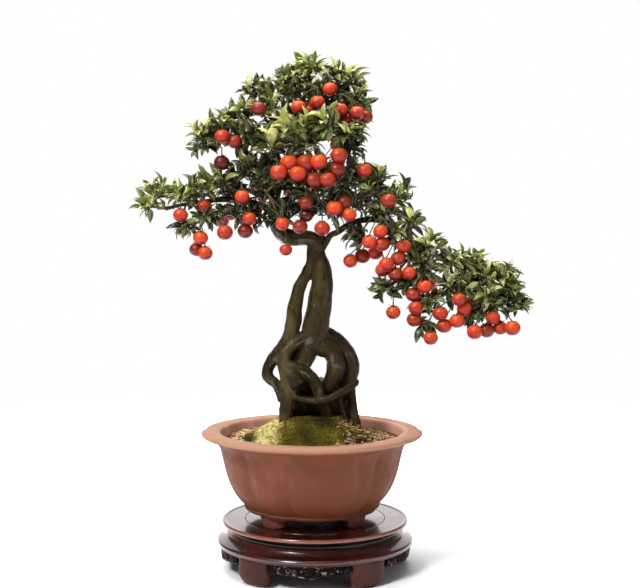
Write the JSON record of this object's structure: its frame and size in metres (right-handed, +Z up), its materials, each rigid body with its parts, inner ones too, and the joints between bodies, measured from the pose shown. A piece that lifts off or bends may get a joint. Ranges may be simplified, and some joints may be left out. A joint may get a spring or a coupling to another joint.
{
  "type": "chinese persimmon bonsai",
  "caption": "Small-fruited persimmon trained as a cascading bonsai with looped roots, in a lobed unglazed clay pot on a round lacquered wood stand.",
  "frame": {"origin": "middle of the whole object's box in plan, at the underside of the stand's feet", "axes": "+Z up along the tree; the side seen in the picture faces -Y and the cascade of fruit hangs toward +X"},
  "size_m": [0.535, 0.2854, 0.6691],
  "materials": {
    "lacquer": "glossy dark red-brown lacquer",
    "clay": "matte unglazed red-brown clay",
    "soil": "rough dry potting soil",
    "moss": "soft short moss",
    "bark": "rough grey-brown bark",
    "leaf": "satin leaves and green twigs",
    "fruit": "smooth waxy fruit skin"
  },
  "bodies": {
    "root": {"fruit_cascade_cluster": "fruit", "fruit_cascade_end": "fruit", "fruit_cascade_low": "fruit", "fruit_cascade_mid": "fruit", "fruit_centre_left": "fruit", "fruit_centre_right": "fruit", "fruit_centre_shade": "fruit", "fruit_far_left": "fruit", "fruit_left_dull": "fruit", "fruit_left_inner": "fruit", "fruit_left_low": "fruit", "fruit_left_mid": "fruit", "fruit_left_near": "fruit", "fruit_left_upper": "fruit", "fruit_low_drop": "fruit", "fruit_low_left": "fruit", "fruit_low_middle": "fruit", "fruit_mid_right": "fruit", "fruit_right_high": "fruit", "fruit_shoulder": "fruit", "fruit_shoulder_low": "fruit", "fruit_top_high": "fruit", "fruit_top_middle": "fruit", "fruit_top_right": "fruit", "moss": "moss", "pot": "clay", "soil": "soil", "spray_back_lower": "leaf", "spray_back_upper": "leaf", "spray_cascade_1": "leaf", "spray_cascade_2": "leaf", "spray_cascade_3": "leaf", "spray_cascade_tip": "leaf", "spray_far_left": "leaf", "spray_inner_front": "leaf", "spray_inner_left": "leaf", "spray_left_crest": "leaf", "spray_left_inner": "leaf", "spray_left_low": "leaf", "spray_left_upper": "leaf", "spray_middle_front": "leaf", "spray_middle_left": "leaf", "spray_middle_right": "leaf", "spray_shoulder": "leaf", "spray_top_left": "leaf", "spray_top_right": "leaf", "stand_apron_1": "lacquer", "stand_apron_2": "lacquer", "stand_apron_3": "lacquer", "stand_apron_4": "lacquer", "stand_apron_5": "lacquer", "stand_leg_1": "lacquer", "stand_leg_2": "lacquer", "stand_leg_3": "lacquer", "stand_leg_4": "lacquer", "stand_leg_5": "lacquer", "stand_top_panel": "lacquer", "stand_top_ring": "lacquer", "stand_waist_and_tier": "lacquer", "wood": "bark"}
  },
  "joints": []
}
